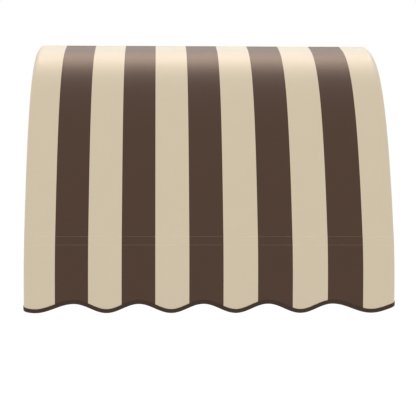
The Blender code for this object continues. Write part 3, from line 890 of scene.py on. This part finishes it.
def wingSeam(sign, start, end):
    (yA, zA), (yB, zB) = start, end
    length = math.hypot(yB - yA, zB - zA)
    row = []
    for t in pitchSteps(0, length):
        y = yA + (yB - yA) * t / length
        z = zA + (zB - zA) * t / length
        row.append((wingPoint(sign, y, z, faceLift), sign * xAxis, (sign * wingU(y), z)))
    return row


def lapSeam(sign, inset):
    row = []
    u = sign * (sideX + roundLength + inset)
    fromWall, fromFoot = stitching["lapEnds"]
    for v in pitchSteps(fromWall, footLength(u) - fromFoot):
        spot, out = coverPoint(u, v, faceLift)
        row.append((spot, out, (u, v)))
    return row


def wingRows(sign):
    rows = [lapSeam(sign, wingLap["width"] * share) for share in stitching["lapRows"]]
    offBar, offWall = stitching["barEnds"]
    for z in (frontAxis.z - seamSpread, frontAxis.z + seamSpread):
        rows.append(wingSeam(sign, (frontAxis.y + offBar, z), (-offWall, z)))
    belowRail, aboveFoot = stitching["postEnds"]
    y = headAxis.y - seamSpread
    foot = scallopZ(sign * wingU(y)) + aboveFoot
    rows.append(wingSeam(sign, (y, headAxis.z - belowRail), (y, foot)))
    return rows


def braidSeam():
    row = []
    end = wingU(-hood["wallGap"]) - stitching["braidEnd"]
    up = braid["height"] * stitching["braidRow"]
    lift = hood["cloth"] / 2 + braid["gap"] + braid["thickness"] + stitching["proud"]
    for u in pitchSteps(-end, end):
        spot = edgePoint(u, up, lift)
        out = (spot - edgePoint(u, up, 0)).normalized()
        row.append((spot, out, (0.0, 0.0)))
    return row


coverRows = [coverSeam(-sideX, sideX, row) for row in seamRows]
coverStitches = makeStitches("coverStitches", coverRows)
for side, sign in sides.items():
    makeStitches("wingStitches" + side.capitalize(), wingRows(sign))
braidStitches = makeStitches("braidStitches", [braidSeam()], ribbedBraid)
print("stitching ready")


# pockets sewn behind the cloth round the tubes

pocketSpec = {
    "cloth": 0.0008,
    "tubeGap": 0.0005,
    "coverGap": 0.0003,  # to the cover or wing that it is sewn to
    "mouth": 0.009,
    "flange": 0.006,
    "flangeRow": 0.8,  # rows of the flat part, as shares of its reach and of the mouth
    "mouthRow": 1.04,
    "cell": 0.008,
    "arcSteps": 22,
    "pucker": 0.0005,
    "puckerSwells": (40, 0.35),  # to a metre along, and to a row of the section
    "puckerSeed": (9, 2),
}


def pocketSection(first, second):
    middle = hood["tubeRadius"] + pocketSpec["tubeGap"] + pocketSpec["cloth"] / 2
    seat = hood["clothRadius"] - hood["cloth"] / 2 - pocketSpec["coverGap"] - pocketSpec["cloth"] / 2

    def spot(angle, along, out):
        n = (math.cos(angle), math.sin(angle))
        return Vector((n[0] * out - n[1] * along, n[1] * out + n[0] * along))

    reach = math.hypot(pocketSpec["mouth"], seat)
    lift = math.atan2(pocketSpec["mouth"], seat) + math.acos(min(middle / reach, 1))
    turn = second - first - 2 * lift + 2 * math.pi
    end = pocketSpec["mouth"] + pocketSpec["flange"]
    flat = (end, end * pocketSpec["flangeRow"], pocketSpec["mouth"] * pocketSpec["mouthRow"])
    line = [spot(first, along, seat) for along in flat]
    for angle in evenly(first + lift, first + lift + turn, pocketSpec["arcSteps"]):
        line.append(Vector((middle * math.cos(angle), middle * math.sin(angle))))
    return line + [spot(second, -along, seat) for along in reversed(flat)]


def makePocket(node, start, end, uAxis, vAxis, first, second):
    line = pocketSection(first, second)
    lengths = lengthsAlong(line)
    run = end - start
    along, down = pocketSpec["puckerSwells"]
    scale, shift = pocketSpec["puckerSeed"]
    seed = start.x * scale + shift
    count = round(run.length / pocketSpec["cell"])
    points, uvs = [], []
    for s in evenly(0, run.length, count):
        place = start + run * (s / run.length)
        for k, p in enumerate(line):
            free = math.sin(math.pi * k / (len(line) - 1)) ** 2
            swell = free * pocketSpec["pucker"] * (1 + noise.noise(Vector((s * along, k * down, seed))))
            q = p + p.normalized() * swell
            points.append(place + q.x * uAxis + q.y * vAxis)
            uvs.append((s, lengths[k]))
    piece = meshPiece(pieceName(node), points, gridFaces(count + 1, len(line)), uvs)
    pointOutwards(piece)
    giveThickness(piece, pocketSpec["cloth"])
    smoothByAngle(piece, edges["clothAngle"])
    paint(piece, sandCanvas)
    standFor(piece, node)
    return piece, (run.length, lengths[-1])


def flatAngle(vector):
    return math.atan2(vector.z, vector.y)


def makePockets():
    made = []
    headFront = flatAngle(-xAxis.cross(headRun).normalized())
    frontAbove = flatAngle(-xAxis.cross(-frontRun).normalized())
    frontBelow = flatAngle(sectionNormals[frontIndex + 1])
    for side, sign in sides.items():
        outward = sign * xAxis
        aside = sideX * outward
        # the cloth it is sewn to, the tube's run and axis, the section's axes and its two seams
        spots = {
            "head": ("awningCover", xAxis, headAxis, yAxis, zAxis, headFront, math.pi / 2),
            "front": ("awningCover", xAxis, frontAxis, yAxis, zAxis, frontBelow, frontAbove),
            "side": ("awningWing", yAxis, frontAxis + aside, outward, zAxis, 0, 0),
            "post": ("awningWing", zAxis, headAxis + aside, outward, yAxis, 0, 0),
        }
        for kind, (cloth, along, axis, *shape) in spots.items():
            node = f"{kind}_pocket_{side}"
            ends = [axis + (corner - axis).dot(along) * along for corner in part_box(node)]
            partner = cloth + side.capitalize() if cloth == "awningWing" else cloth
            made.append((*makePocket(node, *ends, *shape), partner))
    return made


pockets = makePockets()
print("pockets ready")


# tubes: round, hollow, with a slight bevel at their cut ends

tube = {"sides": 40, "bevel": 0.0003, "bowSteps": 44}


def finishTube(piece, node):
    solid = piece.modifiers.new("wall", "SOLIDIFY")
    solid.thickness = hood["tubeWall"]
    solid.offset = -1
    addBevel(piece, tube["bevel"])
    applyModifiers(piece)
    piece.name = piece.data.name = pieceName(node)
    smoothByAngle(piece, edges["tubeAngle"])
    paint(piece, galvanised)
    standFor(piece, node)


def straightTube(node, axis):
    low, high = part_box(node)
    deselectAll()
    bpy.ops.mesh.primitive_cylinder_add(
        vertices=tube["sides"], radius=hood["tubeRadius"], depth=abs((high - low).dot(axis)),
        end_fill_type="NOTHING", location=middleOf(node), rotation=axis.to_track_quat("Z", "Y").to_euler())
    piece = bpy.context.active_object
    applyPlace(piece)
    finishTube(piece, node)


def sweptTube(node, x):
    ends = [headAxis + hood["stub"] * headRun, frontAxis + hood["stub"] * frontRun]
    path = [ends[0], *bowAxis(tube["bowSteps"]), ends[1]]
    path = [place + x * xAxis for place in path]
    runs = [(b - a).normalized() for a, b in zip(path, path[1:])]
    headings = [(a + b).normalized() for a, b in zip([runs[0], *runs], [*runs, runs[-1]])]
    deselectAll()
    bpy.ops.mesh.primitive_circle_add(
        vertices=tube["sides"], radius=hood["tubeRadius"], location=path[0],
        rotation=runs[0].to_track_quat("Z", "X").to_euler())
    piece = bpy.context.active_object
    applyPlace(piece)
    bpy.ops.object.mode_set(mode="EDIT")
    bpy.ops.mesh.select_all(action="SELECT")
    for i in range(1, len(path)):
        before, heading = headings[i - 1], headings[i]
        bpy.ops.mesh.extrude_region_move(TRANSFORM_OT_translate={"value": path[i] - path[i - 1]})
        turn = math.atan2(before.cross(heading).x, before.dot(heading))
        bpy.ops.transform.rotate(value=-turn, orient_axis="X", center_override=path[i])
    bpy.ops.object.mode_set(mode="OBJECT")
    pointOutwards(piece)
    finishTube(piece, node)


straightTube("head_rail", xAxis)
straightTube("front_bar", xAxis)
for side, sign in sides.items():
    straightTube("side_bar_" + side, yAxis)
    straightTube("wall_post_" + side, zAxis)
    sweptTube("side_bow_" + side, sign * sideX)
sweptTube("centre_bow", 0)
print("tubes ready")


# castings: a copy of each is voxel-meshed and smoothed, which gives the fillets of a casting

casting = {
    "kinds": ("corner", "bracket", "saddle"),
    "merge": 0.00001,
    "voxel": 0.0009,
    "smoothFactor": 0.5,
    "smoothing": 6,
}


def castCopy(node):
    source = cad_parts[node]
    piece = source.copy()
    piece.data = source.data.copy()
    piece.name = piece.data.name = pieceName(node)
    piece.parent = None
    for key in list(piece.keys()):
        del piece[key]
    bpy.context.scene.collection.objects.link(piece)
    piece.hide_viewport = piece.hide_render = False
    activate(piece)
    bpy.ops.object.mode_set(mode="EDIT")
    bpy.ops.mesh.select_all(action="SELECT")
    bpy.ops.mesh.remove_doubles(threshold=casting["merge"])
    bpy.ops.object.mode_set(mode="OBJECT")
    remesh = piece.modifiers.new("voxels", "REMESH")
    remesh.mode = "VOXEL"
    remesh.voxel_size = casting["voxel"]
    smooth = piece.modifiers.new("fillets", "SMOOTH")
    smooth.factor = casting["smoothFactor"]
    smooth.iterations = casting["smoothing"]
    applyModifiers(piece)
    bpy.ops.object.shade_smooth()
    paint(piece, castAluminium)
    standFor(piece, node)


for node in sorted(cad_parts):
    if "screw" not in node and any(kind in node for kind in casting["kinds"]):
        castCopy(node)
print("castings ready")


# screws: hexagon heads with a flange

screw = {
    "headSides": 6,
    "headRadius": 0.0052,
    "head": 0.0030,
    "headBevel": 0.0004,
    "flangeSides": 24,
    "flangeRadius": 0.0056,
    "flange": 0.0008,
    "shankSides": 16,
    "shankRadius": 0.0024,
    "length": 0.0125,
    "smallBevel": 0.00025,
    "fromEnd": 0.015,  # a screw's place, from the tube's end
    "tubeFacets": 12,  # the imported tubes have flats, and the screws sit on those
    "saddleWall": 0.0028,
    "seatGap": 0.0003,
}


def screwPart(sides, radius, depth, height, bevel):
    deselectAll()
    bpy.ops.mesh.primitive_cylinder_add(vertices=sides, radius=radius, depth=depth, location=(0, 0, height))
    piece = bpy.context.active_object
    addBevel(piece, bevel)
    applyModifiers(piece)
    applyPlace(piece)
    return piece


def screwTemplate():
    head, flange = screw["head"], screw["flange"]
    shank = screw["length"] - head
    return joinPieces("screwTemplate", [
        screwPart(screw["headSides"], screw["headRadius"], head, head / 2, screw["headBevel"]),
        screwPart(screw["flangeSides"], screw["flangeRadius"], flange, flange / 2, screw["smallBevel"]),
        screwPart(screw["shankSides"], screw["shankRadius"], shank, -shank / 2, screw["smallBevel"]),
    ])


def screwPlaces():
    # node name, a point on the tube's axis, the way out, and the seat's distance
    flat = hood["tubeRadius"] * math.cos(math.pi / screw["tubeFacets"])
    reach = hood["stub"] + screw["fromEnd"]
    headIn = xAxis.cross(headRun).normalized()
    frontIn = xAxis.cross(-frontRun).normalized()
    found = []
    for side, sign in sides.items():
        inward = -sign * xAxis
        out = Vector((sign * sideX, 0, 0))
        corners = {
            "head_corner_": (headAxis + out, [(inward, -zAxis), (headRun, headIn), (-zAxis, inward)]),
            "front_corner_": (frontAxis + out, [(inward, yAxis), (frontRun, frontIn), (yAxis, inward)]),
            "foot_bracket_": (footAxis + out, [(zAxis, inward), (-yAxis, inward)]),
        }
        for label, (node, legs) in corners.items():
            for i, (direction, way) in enumerate(legs, 1):
                found.append((f"{label}{side}_screw_{i}", node + reach * direction, way, flat))
        spot = headAxis + middleOf("hook_bracket_" + side).x * xAxis
        found.append((f"hook_bracket_{side}_screw", spot, -zAxis, -headAxis.y))
    spot = headAxis + middleOf("hook_bracket_centre_screw").x * xAxis
    found.append(("hook_bracket_centre_screw", spot, -zAxis, -headAxis.y))
    found.append(("hook_bracket_centre_screw_bow", headAxis + reach * headRun, headIn, flat))
    found.append(("front_saddle_screw_bow", frontAxis + reach * frontRun, frontIn, flat))
    barScrew = middleOf("front_saddle_screw_bar")
    spot = frontAxis + barScrew.x * xAxis
    way = (barScrew - spot).normalized()
    found.append(("front_saddle_screw_bar", spot, way, hood["tubeRadius"] + screw["saddleWall"]))
    return found


def makeScrews():
    template = screwTemplate()
    for node, spot, way, seat in screwPlaces():
        piece = template.copy()
        piece.data = template.data.copy()
        piece.name = piece.data.name = pieceName(node)
        bpy.context.scene.collection.objects.link(piece)
        turned = way.to_track_quat("Z", "Y").to_matrix().to_4x4()
        piece.matrix_world = Matrix.Translation(spot + (seat + screw["seatGap"]) * way) @ turned
        applyPlace(piece)
        smoothByAngle(piece, edges["screwAngle"])
        paint(piece, zincPlate)
        standFor(piece, node)
    bpy.data.objects.remove(template)


makeScrews()
print("screws ready")

# the size each pocket was cut to

for pocket, size, partner in pockets:
    print(pocket.name, [round(x, 4) for x in size])

# floor, light and camera

studio = {
    "floorZ": -3.2,
    "floorSize": 80,
    "floorColour": (0.9, 0.9, 0.9, 1),
    "floorRoughness": 0.9,
    "floorGlow": 0.15,  # added where the camera or a reflection sees the floor
    "worldStrength": 1.0,
    "lampSize": (3.0, 1.0),
    "lampTarget": (0, -0.2, 0),
}

# the light from high behind: its reflection on the cloth is warmer than what the cloth scatters
lamps = {
    "backGloss": {"place": (0, 2.05, 2.2), "power": 45, "colour": (1, 0.71, 0.55), "reflected": True},
    "backSoft": {"place": (0, 2.3, 1.85), "power": 47, "colour": (1, 1.28, 1.7), "reflected": False},
}


def makeFloor():
    deselectAll()
    bpy.ops.mesh.primitive_plane_add(size=studio["floorSize"], location=(0, 0, studio["floorZ"]))
    floor = bpy.context.active_object
    floor.name = "studioFloor"
    material, tree, shader = newMaterial("studioWhite", studio["floorRoughness"])
    setSocket(shader, "Base Color", studio["floorColour"])
    setSocket(shader, "Specular IOR Level", 0.0)
    path = tree.nodes.new("ShaderNodeLightPath")
    seen = mathNode(tree, "MAXIMUM", path.outputs["Is Camera Ray"], path.outputs["Is Glossy Ray"])
    setSocket(shader, "Emission Color", (1, 1, 1, 1))
    glow = mathNode(tree, "MULTIPLY", seen, studio["floorGlow"])
    tree.links.new(glow, shader.inputs["Emission Strength"])
    paint(floor, material)


def makeWorld():
    world = bpy.data.worlds.new("studioWorld")
    bpy.context.scene.world = world
    world.use_nodes = True
    background = world.node_tree.nodes["Background"]
    setSocket(background, "Color", (1, 1, 1, 1))
    setSocket(background, "Strength", studio["worldStrength"])


def makeLamp(name, spec):
    light = bpy.data.lights.new(name, "AREA")
    light.shape = "RECTANGLE"
    light.size, light.size_y = studio["lampSize"]
    light.energy = spec["power"]
    light.color = spec["colour"]
    lamp = bpy.data.objects.new(name, light)
    bpy.context.scene.collection.objects.link(lamp)
    place = Vector(spec["place"])
    lamp.location = place
    lamp.rotation_euler = (Vector(studio["lampTarget"]) - place).to_track_quat("-Z", "Y").to_euler()
    lamp.visible_glossy = spec["reflected"]
    lamp.visible_diffuse = not spec["reflected"]


view = {
    "place": Vector((-0.14763, -4.74686, -0.1504)),
    "yaw": 0.03429,  # to the right
    "pitch": 0.06247,  # down
    "roll": 0.00282,
    "focalPixels": 1492.68,
    "framePixels": 416,
    "sensor": 36,
    "farthest": 200,
}


def makeCamera():
    data = bpy.data.cameras.new("streetCamera")
    data.sensor_width = view["sensor"]
    data.lens = view["focalPixels"] / view["framePixels"] * data.sensor_width
    data.clip_end = view["farthest"]
    camera = bpy.data.objects.new("streetCamera", data)
    bpy.context.scene.collection.objects.link(camera)
    yaw, pitch, roll = view["yaw"], view["pitch"], view["roll"]
    ahead = Vector((math.sin(yaw) * math.cos(pitch), math.cos(yaw) * math.cos(pitch), -math.sin(pitch)))
    right = Vector((math.cos(yaw), -math.sin(yaw), 0))
    up = right.cross(ahead)
    rolledRight = right * math.cos(roll) + up * math.sin(roll)
    rolledUp = up * math.cos(roll) - right * math.sin(roll)
    turned = Matrix((rolledRight, rolledUp, -ahead)).transposed()
    camera.rotation_euler = turned.to_euler()
    camera.location = view["place"]
    bpy.context.scene.camera = camera


makeFloor()
makeWorld()
for name, spec in lamps.items():
    makeLamp(name, spec)
makeCamera()
bpy.context.scene.view_settings.view_transform = "Standard"
print("studio ready")
